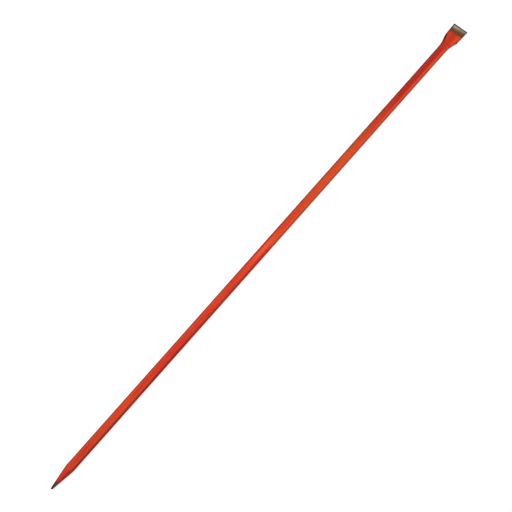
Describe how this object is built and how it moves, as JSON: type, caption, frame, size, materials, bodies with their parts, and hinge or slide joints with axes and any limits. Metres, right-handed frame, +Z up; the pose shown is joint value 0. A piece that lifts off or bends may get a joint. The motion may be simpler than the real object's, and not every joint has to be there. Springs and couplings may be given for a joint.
{
  "type": "digging bar",
  "caption": "Octagonal steel digging bar with a flared chisel blade opposite a round pencil point, enamelled orange-red with bare working ends, for breaking and prying hard ground.",
  "frame": {"origin": "under the middle of the bar's length, on the surface that the bar lies on", "axes": "+X along the bar towards the chisel's cutting edge, +Y across the blade's width, +Z up, square to the blade's faces and to the flat that the bar lies on"},
  "size_m": [1.75, 0.0469, 0.0259],
  "materials": {
    "forged_steel": "bare forged steel, ground lengthwise at the chisel, heat-browned next to the enamel, dark at the tip",
    "orange_enamel": "gloss orange-red dipped enamel"
  },
  "bodies": {
    "root": {"forged_bar": "forged_steel", "paint_coat": "orange_enamel"}
  },
  "joints": []
}
